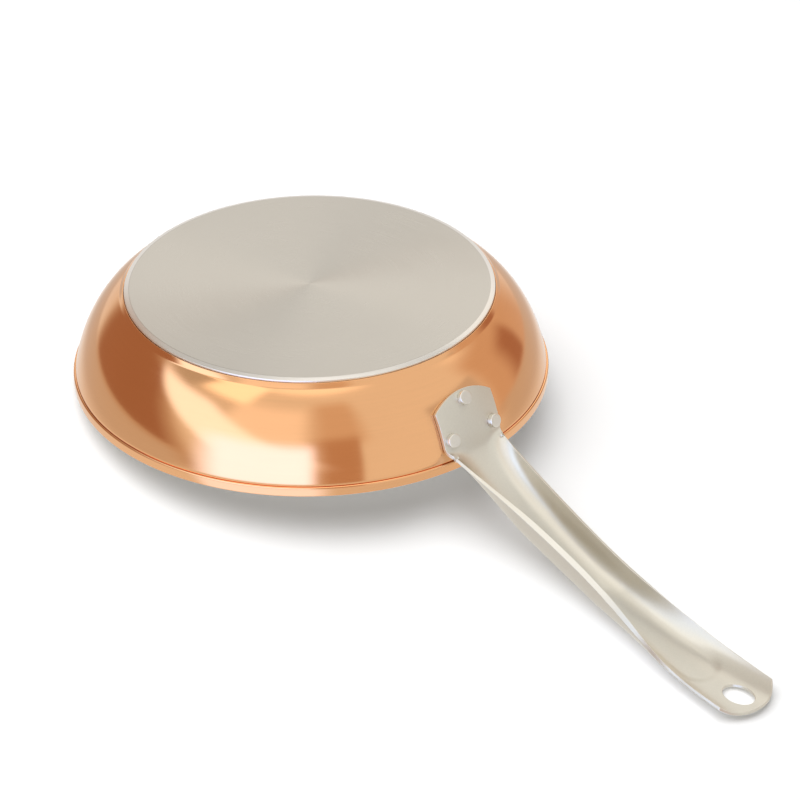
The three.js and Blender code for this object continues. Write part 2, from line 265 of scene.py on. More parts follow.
def add_mesh(name, vertices, faces, sharp_angle=SHARP_ANGLE):
    """New smooth-shaded object from vertices in millimetres."""
    mesh = bpy.data.meshes.new(name)
    mesh.from_pydata([tuple(v) for v in np.asarray(vertices) * MM], [], faces)
    mesh.validate()
    mesh.shade_smooth()
    mesh.set_sharp_from_angle(angle=math.radians(sharp_angle))
    piece = bpy.data.objects.new(name, mesh)
    bpy.context.scene.collection.objects.link(piece)
    return piece


def turned(outline, facets=TURNS):
    """Vertices and faces of an outline, radius and height, turned about the vertical axis.

    An outline that starts on the axis ends there too, and any other is closed.
    """
    outline = np.asarray(outline, float)
    angles = np.arange(facets) * 2 * math.pi / facets
    vertices = []
    circles = []
    for radius, height in outline:
        if radius < ON_AXIS:
            circles.append([len(vertices)] * facets)
            vertices.append((0, 0, height))
            continue
        circles.append(list(range(len(vertices), len(vertices) + facets)))
        vertices.extend((radius * math.cos(a), radius * math.sin(a), height) for a in angles)
    faces = []
    closed = outline[0][0] > ON_AXIS
    count = len(circles) if closed else len(circles) - 1
    for i in range(count):
        low = circles[i]
        high = circles[(i + 1) % len(circles)]
        for k in range(facets):
            m = (k + 1) % facets
            corners = [low[k], low[m], high[m], high[k]]
            faces.append(list(dict.fromkeys(corners)))
    return vertices, faces


def dress(piece, node, material):
    """Makes a piece stand for a CAD node."""
    piece.data.materials.clear()
    piece.data.materials.append(material)
    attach(piece, "root")
    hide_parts(node)
    return piece


# Bowl

def copper_outline():
    """Copper skin: lip round the disc, wall, groove and the raised band at the rim."""
    wall_top = RIM_RADIUS - BAND_PROUD
    band_bottom = GROOVE_HEIGHT + GROOVE_WIDTH
    up_lip = LIP_LINE / np.linalg.norm(LIP_LINE)
    into = np.array([-up_lip[1], up_lip[0]])
    kink = LIP_START + LIP_LINE
    up_wall = bezier_direction(WALL_CURVE, 0)[0]
    inner = wall_points(np.linspace(1, 0, WALL_STEPS // 2), JACKET)
    foot = round_corner(LIP_START + into * LIP_ROUND, LIP_START, LIP_START + up_lip * LIP_ROUND)
    bend = round_corner(kink - up_lip * LIP_KINK_ROUND, kink, kink + up_wall * LIP_KINK_ROUND)
    first = wall_parameter(bend[-1][1])
    wall = wall_points(np.linspace(first, 1, WALL_STEPS), 0)[1:]
    groove = [
        (wall_top, GROOVE_HEIGHT + GROOVE_SIDE),
        (wall_top - GROOVE_DEPTH, GROOVE_HEIGHT + GROOVE_SIDE),
        (wall_top - GROOVE_DEPTH, band_bottom - GROOVE_SIDE),
    ]
    lower = round_corner(
        (RIM_RADIUS - BAND_LOWER_ROUND, band_bottom - GROOVE_SIDE),
        (RIM_RADIUS, band_bottom - GROOVE_SIDE),
        (RIM_RADIUS, band_bottom + BAND_LOWER_ROUND),
    )
    upper = round_corner(
        (RIM_RADIUS, PAN_HEIGHT - BAND_UPPER_ROUND),
        (RIM_RADIUS, PAN_HEIGHT),
        (RIM_RADIUS - BAND_UPPER_ROUND, PAN_HEIGHT),
    )
    top = [(inner[0][0], PAN_HEIGHT)]
    lip_back = [LIP_START + into * JACKET]
    return np.vstack([foot, bend, wall, groove, lower, upper, top, inner, lip_back])


def inside_outline(inward, floor, top):
    """Inside of a layer: flat floor, round corner, then the wall up to a height."""
    meet = wall_points(FILLET_MEETS_WALL, inward)[0]
    tangent = bezier_direction(WALL_CURVE, FILLET_MEETS_WALL)[0]
    slope = math.atan2(tangent[1], tangent[0])
    radius = (meet[1] - floor) / (1 - math.cos(slope))
    angles = np.linspace(0, slope, FILLET_STEPS)
    centre = np.array([meet[0] - radius * math.sin(slope), floor + radius])
    fillet = centre + radius * np.stack([np.sin(angles), -np.cos(angles)], axis=1)
    wall = wall_points(np.linspace(FILLET_MEETS_WALL, 1, WALL_STEPS)[1:], inward)
    plain = [(f * fillet[0][0], floor) for f in np.linspace(0, 1, FLOOR_STEPS)[:-1]]
    return np.vstack([plain, fillet, wall, [(wall[-1][0], top)]])


def lining_outline():
    """Steel lining, with its edge turned out over the core at the rim."""
    lip_edge = wall_points(1, LIP_EDGE_INSET)[0][0]
    under = PAN_HEIGHT - LINING
    outer = inside_outline(WALL - LINING, COOKING_FLOOR - LINING, under)
    inner = inside_outline(WALL, COOKING_FLOOR, under)
    turn_in = round_corner(
        (inner[-1][0], under),
        (inner[-1][0], PAN_HEIGHT),
        (inner[-1][0] + LINING, PAN_HEIGHT),
    )
    lip = [(lip_edge, under), (lip_edge, PAN_HEIGHT)]
    return np.vstack([outer, lip, turn_in[::-1], inner[::-1][1:]])


def disc_outline():
    """Steel disc with a bevelled edge."""
    flat = DISC_RADIUS - DISC_BEVEL_WIDTH
    bevel = np.array([DISC_BEVEL_WIDTH, DISC_BEVEL_DROP])
    bevel = bevel / np.linalg.norm(bevel) * DISC_EDGE_ROUND
    face = [(f * flat, 0) for f in np.linspace(0, 1, DISC_STEPS)[:-1]]
    edge = round_corner((flat - DISC_EDGE_ROUND, 0), (flat, 0), (flat + bevel[0], bevel[1]))
    rim = round_corner(
        (DISC_RADIUS - bevel[0], DISC_BEVEL_DROP - bevel[1]),
        (DISC_RADIUS, DISC_BEVEL_DROP),
        (DISC_RADIUS, DISC_BEVEL_DROP + DISC_EDGE_ROUND),
    )
    back = [(DISC_RADIUS, DISC_TOP), (0, DISC_TOP)]
    return np.vstack([face, edge, rim, back])


# Rivets

PAIR_HEIGHT = GROOVE_HEIGHT - PAIR_BELOW_GROOVE
TOP_HEIGHT = PAIR_HEIGHT - TOP_BELOW_PAIR
RIVETS = {
    "rivet_top": (TOP_HEIGHT, 0.0),
    "rivet_left": (PAIR_HEIGHT, RIVET_HALF_PITCH),
    "rivet_right": (PAIR_HEIGHT, -RIVET_HALF_PITCH),
}


def rivet_matrix(height, sideways):
    """Place of a rivet that stands square on the wall, its own +Z pointing away from the bowl."""
    t = wall_parameter(height)
    radius = bezier(WALL_CURVE, t)[0][0]
    tangent = bezier_direction(WALL_CURVE, t)[0]
    turn = math.asin(sideways / radius)
    axis = Vector((tangent[1], 0, -tangent[0]))
    return Matrix.Rotation(turn, 4, "Z") @ Matrix.Translation((radius, 0, height)) @ facing(axis)


def rivet_outline():
    """Rivet: domed head in the bowl, shank through the wall and flat tail on the handle's tab."""
    tail_bottom = SEAT_GAP + SHEET
    tail_top = tail_bottom + TAIL_HEIGHT
    head_face = -(WALL + HEAD_GAP)
    head_top = head_face - HEAD_HEIGHT
    dome_curve = [(0, head_top), (HEAD_RADIUS, head_top), (HEAD_RADIUS, head_face)]
    dome = bezier(dome_curve, np.linspace(0, 1, DOME_STEPS))
    edge = round_corner(
        (TAIL_RADIUS, tail_top - TAIL_ROUND),
        (TAIL_RADIUS, tail_top),
        (TAIL_RADIUS - TAIL_ROUND, tail_top),
    )
    shank = [(SHANK_RADIUS, head_face), (SHANK_RADIUS, tail_bottom), (TAIL_RADIUS, tail_bottom)]
    crown = [(TAIL_RADIUS / 2, tail_top), (0, tail_top)]
    return np.vstack([dome, shank, edge, crown])


def rivet(name):
    vertices, faces = turned(rivet_outline(), RIVET_TURNS)
    place = rivet_matrix(*RIVETS[name])
    vertices = [place @ Vector(v) for v in vertices]
    return add_mesh(name + "_fine", vertices, faces)


# Handle

SHEET_OFFSET = SEAT_GAP + SHEET / 2
FOOT_HEIGHT = GROOVE_HEIGHT - FOOT_DROP
FOOT = wall_points(wall_parameter(FOOT_HEIGHT), -SHEET_OFFSET)[0]
EDGE_TURN_X = TIP_X - LEVEL_LENGTH
EDGE_TURN = np.array([EDGE_TURN_X, FOOT[1] + EDGE_LIFT + EDGE_SLOPE * (EDGE_TURN_X - FOOT[0])])
EDGE_TIP = EDGE_TURN + np.array([LEVEL_LENGTH, LEVEL_RISE])
LEVEL_CORNER = EDGE_TURN + np.array([1, EDGE_SLOPE]) * LEVEL_LEAD
TIP = EDGE_TIP + np.array([0, END_DEPTH])
CROWN = [FOOT, FOOT + CROWN_LEAVE, TIP - CROWN_ARRIVE, TIP]


def edge_height(x):
    """Height of the handle's two long edges at a distance from the bowl's axis."""
    a = EDGE_TURN[0] - 2 * LEVEL_CORNER[0] + EDGE_TIP[0]
    b = 2 * (LEVEL_CORNER[0] - EDGE_TURN[0])
    beyond = np.clip(x - EDGE_TURN[0], 0, LEVEL_LENGTH)
    t = (-b + np.sqrt(b * b + 4 * a * beyond)) / (2 * a)
    level = bezier([EDGE_TURN, LEVEL_CORNER, EDGE_TIP], t)[:, 1]
    straight = EDGE_TURN[1] + EDGE_SLOPE * (x - EDGE_TURN[0])
    return np.where(x <= EDGE_TURN[0], straight, level)


def half_width(x):
    """Half the handle's width at a distance from the bowl's axis."""
    waist = RIM_RADIUS + WAIST_FROM_RIM
    f = np.clip((waist - x) / (waist - FOOT[0]), 0, 1)
    root = WAIST_HALF + (TAB_HALF - WAIST_HALF) * f * f
    grip = WAIST_HALF + (END_HALF - WAIST_HALF) * smooth(waist, waist + WIDEN_LENGTH, x)
    return np.where(x <= waist, root, grip)


def sheet_at(x):
    """Thickness of the sheet, which thins toward the handle's end."""
    return SHEET + (END_SHEET - SHEET) * smooth(TIP_X - THIN_LENGTH, TIP_X - THIN_EVEN, x)


def shown_sheet(x):
    """Thickness that the sheet's edge shows, thinner where the handle leaves the bowl."""
    left = smooth(FOOT[0] - ROOT_START, FOOT[0] + ROOT_START, x)
    grown = smooth(FOOT[0] + ROOT_START, FOOT[0] + ROOT_GROW, x)
    return sheet_at(x) + (ROOT_SHEET - SHEET) * left * (1 - grown)


def scoop(x, y):
    """How far the round end of the trough is pressed in below the flat end."""
    end = TIP_X - SCOOP_FROM_TIP
    away = np.hypot(np.maximum(x - end, 0) / SCOOP_LENGTH, y / SCOOP_HALF)
    return SCOOP_DEPTH * (1 - smooth(SCOOP_EDGE, 1, away)) * smooth(end - SCOOP_FADE, end, x)


def lengths_along(points):
    """Length from the first point to each point of a line."""
    return np.concatenate([[0], np.cumsum(np.linalg.norm(np.diff(points, axis=0), axis=1))])


def centre_line():
    """Dense stations along the sheet: place, direction, dish depth and how far it has left the wall."""
    tab_top = TOP_HEIGHT - TAB_BEYOND_TOP - TAB_SPARE
    t = wall_parameter(np.linspace(tab_top, FOOT_HEIGHT - BEND_LENGTH, TAB_STATIONS))
    tab = wall_points(t, -SHEET_OFFSET)
    fine = np.linspace(0, 1, CROWN_SAMPLES)
    crown = bezier(CROWN, fine)
    bend_end = np.interp(BEND_LENGTH, lengths_along(crown), fine)
    f = np.linspace(0, 1, BEND_STATIONS)[1:]
    bend_curve = [tab[-1], FOOT, bezier(CROWN, bend_end)[0]]
    u = np.linspace(bend_end, 1, CROWN_STATIONS)[1:]
    points = np.vstack([tab, bezier(bend_curve, f), bezier(CROWN, u)])
    directions = np.vstack([
        bezier_direction(WALL_CURVE, t),
        bezier_direction(bend_curve, f),
        bezier_direction(CROWN, u),
    ])
    free = np.concatenate([np.zeros(len(tab)), smooth(0, 1, f), np.ones(len(u))])
    depth = np.zeros(len(points))
    closing = directions[:, 0] + EDGE_SLOPE * directions[:, 1]
    for _ in range(DEPTH_ROUNDS):
        edge = edge_height(points[:, 0] + depth * directions[:, 1])
        depth = depth + (points[:, 1] - depth * directions[:, 0] - edge) / closing
    depth = free * np.maximum(depth, 0)
    return lengths_along(points), points, directions, depth, free


LINE_LENGTH, LINE_POINT, LINE_DIRECTION, LINE_DEPTH, LINE_FREE = centre_line()


def dish(angle):
    """Share of the dish's depth at an angle from its middle: flat in the middle, with steep sides."""
    side = np.abs(np.sin(angle)) ** DISH_POWER
    return 1 - (1 - side) ** (1 / DISH_POWER)


def sheet_middle(s, v):
    """Middle surface of the sheet at lengths s along it and shares v of its half width across it."""
    x = np.interp(s, LINE_LENGTH, LINE_POINT[:, 0])
    z = np.interp(s, LINE_LENGTH, LINE_POINT[:, 1])
    tx = np.interp(s, LINE_LENGTH, LINE_DIRECTION[:, 0])
    tz = np.interp(s, LINE_LENGTH, LINE_DIRECTION[:, 1])
    depth = np.interp(s, LINE_LENGTH, LINE_DEPTH)
    free = np.interp(s, LINE_LENGTH, LINE_FREE)
    half = half_width(x + depth * tz) - free * sheet_at(x) / 2
    reach = np.clip(2 * np.arctan2(depth, half), LEAST_REACH, math.pi / 2)
    angle = reach * v
    y = half * np.sin(angle) / np.sin(reach)
    arc = dish(angle) / dish(reach)
    tray = smooth(TIP_X - TRAY_LENGTH, TIP_X - TRAY_EVEN, x)
    drop = depth * (arc + (np.abs(v) ** TRAY_POWER - arc) * tray) - scoop(x, y)
    wrap = (1 - free) * (x - np.sqrt(x * x - y * y))
    return np.stack([x + drop * tz - wrap, y, z - drop * tx], axis=-1)


def sheet_normal(s, v):
    """Unit normal of the middle surface, pointing to the handle's underside."""
    along = sheet_middle(s + STEP_ALONG, v) - sheet_middle(s - STEP_ALONG, v)
    left = sheet_middle(s, np.minimum(v + STEP_ACROSS, 1))
    right = sheet_middle(s, np.maximum(v - STEP_ACROSS, -1))
    across = left - right
    normal = np.cross(along, across)
    normal /= np.linalg.norm(normal, axis=-1)[..., None]
    return -normal


def edge_slant(s, v):
    """How far the open side's two long edges stand beyond the crown side's, where they are cut at a slant."""
    x = np.interp(s, LINE_LENGTH, LINE_POINT[:, 0])
    free = np.interp(s, LINE_LENGTH, LINE_FREE)
    fade = free * smooth(FOOT[0], FOOT[0] + EDGE_SLANT_GROW, x)
    fade = fade * (1 - smooth(TIP_X - EDGE_SLANT_FADE, TIP_X - EDGE_SLANT_FADE / 2, x))
    outward = sheet_middle(s, v) - sheet_middle(s, v * JUST_INSIDE)
    outward /= np.maximum(np.linalg.norm(outward, axis=-1), TINY)[..., None]
    amount = np.where(np.abs(v) > AT_EDGE, fade * EDGE_SLANT * shown_sheet(x), 0)
    return outward * amount[..., None]


def tab_start(v):
    """Length along the sheet where the tab's round top cuts it."""
    y = TAB_HALF * v
    height = TOP_HEIGHT - TAB_BEYOND_TOP + TAB_TOP_RADIUS - np.sqrt(TAB_TOP_RADIUS ** 2 - y * y)
    return np.interp(height, LINE_POINT[:TAB_STATIONS, 1], LINE_LENGTH[:TAB_STATIONS])


def tip_end(v):
    """Length along the sheet where the handle's round end cuts it."""
    s = np.full_like(v, LINE_LENGTH[-1])
    for _ in range(TIP_ROUNDS):
        y = sheet_middle(s, v)[..., 1]
        x = TIP_X - END_ARC_RADIUS + np.sqrt(np.maximum(END_ARC_RADIUS ** 2 - y * y, 0))
        s = np.interp(x, LINE_POINT[:, 0], LINE_LENGTH)
    return s


def handle_grid():
    """Lengths along the sheet and shares across it of a grid that covers the whole handle."""
    v = np.linspace(-1, 1, HANDLE_COLUMNS + 1)
    u = np.linspace(0, 1, HANDLE_ROWS + 1)[:, None]
    s = tab_start(v) * (1 - u) + tip_end(v) * u
    return s, np.broadcast_to(v, s.shape)


def hang_ring(place):
    """Point of the hanging hole's edge in the direction of a place, seen from above."""
    centre = np.array([TIP_X - HANG_FROM_TIP, 0.0])
    away = place - centre
    beyond = math.hypot(away[0] / (HANG_LENGTH / 2), away[1] / (HANG_WIDTH / 2))
    return centre + away / beyond


def lengths_at(place):
    """Length along the sheet and share across it of a place near the handle's end, seen from above."""
    s = np.interp(place[0], LINE_POINT[:, 0], LINE_LENGTH)
    v = np.array(0.0)
    for _ in range(PLACE_ROUNDS):
        here = sheet_middle(s, v)
        s = s + (place[0] - here[0])
        v = v + (place[1] - here[1]) / END_HALF
    return s, v


def hole_patch(middle):
    """First and last row and column of the grid's patch round the hanging hole."""
    columns = middle.shape[1]
    hole_x = TIP_X - HANG_FROM_TIP
    line = middle[:, columns // 2, 0]
    row_low = int(np.argmin(abs(line - (hole_x - HANG_LENGTH / 2 - PATCH_BACK))))
    row_high = int(np.argmin(abs(line - (hole_x + HANG_LENGTH / 2 + PATCH_FRONT))))
    across = middle[(row_low + row_high) // 2, :, 1]
    column_low = int(np.argmin(abs(across + HANG_WIDTH / 2 + PATCH_SIDE)))
    return row_low, row_high, column_low, columns - 1 - column_low


def patch_border(row_low, row_high, column_low, column_high):
    """Grid points round a patch, in order."""
    border = [(row_low, j) for j in range(column_low, column_high)]
    border += [(i, column_high) for i in range(row_low, row_high)]
    border += [(row_high, j) for j in range(column_high, column_low, -1)]
    border += [(i, column_low) for i in range(row_high, row_low, -1)]
    return border


def band(first, second):
    """Faces between two closed loops of equal length."""
    following = list(range(1, len(first))) + [0]
    return [(first[k], first[m], second[m], second[k]) for k, m in enumerate(following)]


def without_spare(vertices, faces):
    """Leaves out the vertices that no face uses."""
    used = sorted({corner for face in faces for corner in face})
    order = {old: new for new, old in enumerate(used)}
    return vertices[used], [tuple(order[c] for c in face) for face in faces]


def sheet_mesh():
    """Vertices and faces of the handle: two skins over one grid, joined at the border and in the hole."""
    s, v = handle_grid()
    middle = sheet_middle(s, v)
    rows, columns = s.shape
    patch = hole_patch(middle)
    row_low, row_high, column_low, column_high = patch
    around_hole = patch_border(*patch)
    lengths = list(s.ravel())
    shares = list(v.ravel())
    loops = [[i * columns + j for i, j in around_hole]]
    for f in PATCH_SHARES:
        loop = []
        for i, j in around_hole:
            start = middle[i, j, :2]
            length, share = lengths_at(start * (1 - f) + hang_ring(start) * f)
            loop.append(len(lengths))
            lengths.append(float(length))
            shares.append(float(share))
        loops.append(loop)
    lengths = np.array(lengths)
    shares = np.array(shares)
    thickness = shown_sheet(np.interp(lengths, LINE_LENGTH, LINE_POINT[:, 0]))[:, None]
    points = sheet_middle(lengths, shares)
    half_sheet = sheet_normal(lengths, shares) * thickness / 2
    vertices = np.vstack([points + half_sheet + edge_slant(lengths, shares), points - half_sheet])

    skin = []
    for i in range(rows - 1):
        for j in range(columns - 1):
            if row_low <= i < row_high and column_low <= j < column_high:
                continue
            a = i * columns + j
            skin.append((a, a + 1, a + columns + 1, a + columns))
    for outer, inner in zip(loops, loops[1:]):
        skin += band(outer, inner)
    count = len(lengths)
    border = [i * columns + j for i, j in patch_border(0, rows - 1, 0, columns - 1)]
    hole = loops[-1]
    faces = [tuple(reversed(f)) for f in skin]
    faces += [tuple(c + count for c in f) for f in skin]
    faces += band(border, [c + count for c in border])
    faces += band([c + count for c in hole], hole)
    return without_spare(vertices, faces)


def handle():
    piece = add_mesh("handle_fine", *sheet_mesh())
    bevel = piece.modifiers.new("rounded edges", "BEVEL")
    bevel.limit_method = "ANGLE"
    bevel.angle_limit = math.radians(ROUNDED_ANGLE)
    bevel.width = EDGE_ROUND * MM
    bevel.segments = ROUNDED_STEPS
    bevel.harden_normals = False
    return piece


# Materials

# Heights over which the painted highlight on a bevel comes in, where the bevel begins
EDGE_RISE = (0.04, 0.12)

# Grain and clouds of the metals, the shares of both in the mix, and how far the mix moves the roughness
GRAIN_DETAIL = 4.0
GRAIN_SHARE = 0.6
CLOUDS_PER_METRE = 28.0
CLOUD_DETAIL = 3.0
CLOUD_SHARE = 0.4
MIX_RANGE = (0.3, 0.7)
ROUGHNESS_RANGE = (0.85, 1.15)
RELIEF_DEPTH = 0.2
COAT_ROUGHNESS = 0.08
QUARTER_TURN = 0.25


def new_material(name):
    material = bpy.data.materials.new(name)
    material.use_nodes = True
    return material, material.node_tree.nodes, material.node_tree.links


def painted_bevel_highlight(nodes, links, place, colour, edge):
    """Painted highlight: colour that turns lighter where a piece rises from its base plane, as where a bevel
    catches the light.
    """
    split = nodes.new("ShaderNodeSeparateXYZ")
    links.new(place, split.inputs[0])
    rise = nodes.new("ShaderNodeMapRange")
    rise.inputs["From Min"].default_value = EDGE_RISE[0] * MM
    rise.inputs["From Max"].default_value = EDGE_RISE[1] * MM
    links.new(split.outputs["Z"], rise.inputs["Value"])
    mix = nodes.new("ShaderNodeMix")
    mix.data_type = "RGBA"
    links.new(rise.outputs["Result"], mix.inputs["Factor"])
    links.new(colour, mix.inputs["A"])
    mix.inputs["B"].default_value = (*edge, 1)
    return mix.outputs["Result"]


def metal(name, colour, roughness, anisotropy, grain, variation=0.06, bump=0.02, coat=0.0, edge=None):
    """Metal with fine grain: grain builds the texture's coordinates from the piece's own."""
    material, nodes, links = new_material(name)
    shader = nodes["Principled BSDF"]
    shader.inputs["Metallic"].default_value = 1.0
    shader.inputs["Anisotropic"].default_value = anisotropy
    shader.inputs["Anisotropic Rotation"].default_value = QUARTER_TURN
    shader.inputs["Coat Weight"].default_value = coat
    shader.inputs["Coat Roughness"].default_value = COAT_ROUGHNESS
    place = nodes.new("ShaderNodeTexCoord").outputs["Object"]
    fine = nodes.new("ShaderNodeTexNoise")
    fine.inputs["Scale"].default_value = 1.0
    fine.inputs["Detail"].default_value = GRAIN_DETAIL
    links.new(grain(nodes, links, place), fine.inputs["Vector"])
    cloud = nodes.new("ShaderNodeTexNoise")
    cloud.inputs["Scale"].default_value = CLOUDS_PER_METRE
    cloud.inputs["Detail"].default_value = CLOUD_DETAIL
    links.new(place, cloud.inputs["Vector"])

    shade = nodes.new("ShaderNodeMix")
    shade.data_type = "RGBA"
    shade.inputs["A"].default_value = (*[c * (1 - variation) for c in colour], 1)
    shade.inputs["B"].default_value = (*[min(1, c * (1 + variation)) for c in colour], 1)
    mixed = nodes.new("ShaderNodeMath")
    mixed.operation = "MULTIPLY_ADD"
    mixed.inputs[1].default_value = GRAIN_SHARE
    links.new(fine.outputs["Fac"], mixed.inputs[0])
    part = nodes.new("ShaderNodeMath")
    part.operation = "MULTIPLY"
    part.inputs[1].default_value = CLOUD_SHARE
    links.new(cloud.outputs["Fac"], part.inputs[0])
    links.new(part.outputs[0], mixed.inputs[2])
    links.new(mixed.outputs[0], shade.inputs["Factor"])
    shown = shade.outputs["Result"]
    # Painted highlight: a lighter colour on the bevel, standing in for the light it catches
    if edge:
        shown = painted_bevel_highlight(nodes, links, place, shown, edge)
    links.new(shown, shader.inputs["Base Color"])

    rough = nodes.new("ShaderNodeMapRange")
    rough.inputs["From Min"].default_value = MIX_RANGE[0]
    rough.inputs["From Max"].default_value = MIX_RANGE[1]
    rough.inputs["To Min"].default_value = roughness * ROUGHNESS_RANGE[0]
    rough.inputs["To Max"].default_value = roughness * ROUGHNESS_RANGE[1]
    links.new(mixed.outputs[0], rough.inputs["Value"])
    links.new(rough.outputs["Result"], shader.inputs["Roughness"])

    relief = nodes.new("ShaderNodeBump")
    relief.inputs["Strength"].default_value = bump
    relief.inputs["Distance"].default_value = RELIEF_DEPTH * MM
    links.new(fine.outputs["Fac"], relief.inputs["Height"])
    links.new(relief.outputs["Normal"], shader.inputs["Normal"])
    tangent = nodes.new("ShaderNodeTangent")
    tangent.direction_type = "RADIAL"
    tangent.axis = "Z"
    links.new(tangent.outputs["Tangent"], shader.inputs["Tangent"])
    return material


def even(per_metre):
    """Grain that runs in no direction."""
    def build(nodes, links, place):
        scale = nodes.new("ShaderNodeVectorMath")
        scale.operation = "MULTIPLY"
        scale.inputs[1].default_value = (per_metre, per_metre, per_metre)
        links.new(place, scale.inputs[0])
        return scale.outputs["Vector"]
    return build


def rings(per_radius, per_height, around):
    """Grain that runs in circles about the vertical axis."""
    def build(nodes, links, place):
        split = nodes.new("ShaderNodeSeparateXYZ")
        links.new(place, split.inputs[0])
        flat = nodes.new("ShaderNodeVectorMath")
        flat.operation = "MULTIPLY"
        flat.inputs[1].default_value = (1, 1, 0)
        links.new(place, flat.inputs[0])
        radius = nodes.new("ShaderNodeVectorMath")
        radius.operation = "LENGTH"
        links.new(flat.outputs["Vector"], radius.inputs[0])
        turn = nodes.new("ShaderNodeMath")
        turn.operation = "ARCTAN2"
        links.new(split.outputs["Y"], turn.inputs[0])
        links.new(split.outputs["X"], turn.inputs[1])
        values = []
        for source, factor in (
            (radius.outputs["Value"], per_radius),
            (turn.outputs[0], around),
            (split.outputs["Z"], per_height),
        ):
            times = nodes.new("ShaderNodeMath")
            times.operation = "MULTIPLY"
            times.inputs[1].default_value = factor
            links.new(source, times.inputs[0])
            values.append(times.outputs[0])
        join = nodes.new("ShaderNodeCombineXYZ")
        for value, name in zip(values, "XYZ"):
            links.new(value, join.inputs[name])
        return join.outputs[0]
    return build


COPPER = metal("copper", (0.88, 0.475, 0.235), 0.11, 0.3, rings(500, 2600, 3.0), coat=0.1)
# The disc's lighter edge colour is a painted highlight on its bevel
DISC_STEEL = metal(
    "turned steel", (0.56, 0.53, 0.485), 0.30, 0.75, rings(2600, 500, 2.0),
    bump=0.04, edge=(0.83, 0.80, 0.76),
)
LINING_STEEL = metal("spun steel", (0.74, 0.72, 0.68), 0.26, 0.6, rings(2200, 2200, 2.0), bump=0.03)
HANDLE_STEEL = metal("satin steel", (0.76, 0.73, 0.655), 0.39, 0.8, even(900), variation=0.09)
RIVET_STEEL = metal("rivet steel", (0.82, 0.79, 0.73), 0.30, 0.0, even(900), bump=0.03)
CORE_METAL = metal("rolled aluminium", (0.72, 0.72, 0.73), 0.4, 0.0, even(600))

# Pieces

dress(add_mesh("copper_jacket_fine", *turned(copper_outline())), "copper_jacket", COPPER)
dress(add_mesh("steel_lining_fine", *turned(lining_outline())), "steel_lining", LINING_STEEL)
disc_piece = add_mesh("induction_disc_fine", *turned(disc_outline()), DISC_SHARP_ANGLE)
dress(disc_piece, "induction_disc", DISC_STEEL)
handle_piece = dress(handle(), "handle", HANDLE_STEEL)
for rivet_name in RIVETS:
    dress(rivet(rivet_name), rivet_name, RIVET_STEEL)
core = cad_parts["aluminium_core"]
core.data.materials.clear()
core.data.materials.append(CORE_METAL)

# Camera

def add_camera():
    below = math.radians(VIEW_BELOW)
    roll = math.radians(VIEW_ROLL)
    forward = -VIEW_TOWARD * math.cos(below) - PICTURE_UP * math.sin(below)
    up = -VIEW_TOWARD * math.sin(below) + PICTURE_UP * math.cos(below)
    right = forward.cross(up)
    level_right = right * math.cos(roll) + up * math.sin(roll)
    level_up = up * math.cos(roll) - right * math.sin(roll)
    data = bpy.data.cameras.new("camera")
    data.lens = LENS
    data.sensor_width = SENSOR
    camera = bpy.data.objects.new("camera", data)
    bpy.context.scene.collection.objects.link(camera)
    turn = Matrix((level_right, level_up, -forward)).transposed().to_4x4()
    place = (Vector(VIEW_AIM) - forward * VIEW_DISTANCE) * MM
    camera.matrix_world = Matrix.Translation(place) @ turn
    bpy.context.scene.camera = camera


add_camera()

# Floors: each is seen from one side only, the tilted one in the picture and the level one when the pan stands.
# They only show to the camera, and take the object's shadow without lighting it.

FLOOR_SIDE = 8.0
FLOOR_COLOUR = 0.8
FLOOR_GLOW = 0.12
FLOOR_GAP = 0.2
HIDDEN_FROM = ("diffuse", "glossy", "transmission", "shadow")
UP = Vector((0, 0, 1))


def floor_material(name):
    material, nodes, links = new_material(name)
    nodes.remove(nodes["Principled BSDF"])
    matt = nodes.new("ShaderNodeBsdfDiffuse")
    matt.inputs["Color"].default_value = (FLOOR_COLOUR, FLOOR_COLOUR, FLOOR_COLOUR, 1)
    glow = nodes.new("ShaderNodeEmission")
    glow.inputs["Strength"].default_value = FLOOR_GLOW
    front = nodes.new("ShaderNodeAddShader")
    links.new(matt.outputs[0], front.inputs[0])
    links.new(glow.outputs[0], front.inputs[1])
    clear = nodes.new("ShaderNodeBsdfTransparent")
    sides = nodes.new("ShaderNodeMixShader")
    links.new(nodes.new("ShaderNodeNewGeometry").outputs["Backfacing"], sides.inputs["Fac"])
    links.new(front.outputs[0], sides.inputs[1])
    links.new(clear.outputs[0], sides.inputs[2])
    links.new(sides.outputs[0], nodes["Material Output"].inputs["Surface"])
    return material


def add_floor(name, point, normal):
    side = FLOOR_SIDE / 2
    mesh = bpy.data.meshes.new(name)
    corners = [(-side, -side, 0), (side, -side, 0), (side, side, 0), (-side, side, 0)]
    mesh.from_pydata(corners, [], [(0, 1, 2, 3)])
    mesh.materials.append(floor_material(name))
    floor = bpy.data.objects.new(name, mesh)
    bpy.context.scene.collection.objects.link(floor)
    floor.matrix_world = Matrix.Translation(point) @ facing(normal)
    for kind in HIDDEN_FROM:
        setattr(floor, "visible_" + kind, False)


def lean_angle():
    """Angle between the base and the floor on which rim and handle lean."""
    return max(
        math.atan2(v.co.z - PAN_HEIGHT * MM, v.co.x + RIM_RADIUS * MM)
        for v in handle_piece.data.vertices
    )


LEAN = lean_angle()
PHOTO_UP = Vector((math.sin(LEAN), 0, -math.cos(LEAN)))
FAR_RIM = Vector((-RIM_RADIUS, 0, PAN_HEIGHT))
add_floor("leaning_floor", (FAR_RIM - PHOTO_UP * FLOOR_GAP) * MM, PHOTO_UP)
add_floor("standing_floor", -UP * FLOOR_GAP * MM, UP)

# Studio: soft panels all round, which the metal mirrors. Headings are in degrees round the pan, 0 toward the
# camera and 90 to the picture's right. Heights are in degrees above the base plane, with the base facing up.

TENT = (0.91, 0.90, 0.86)
LAMP_SIZE = 5.5
LAMP_DISTANCE = 3.0
LAMP_ASIDE = 1.6
LAMP_ENERGY = 228.0
ALL_ROUND = (-180, 180)
NO_EDGE = 1


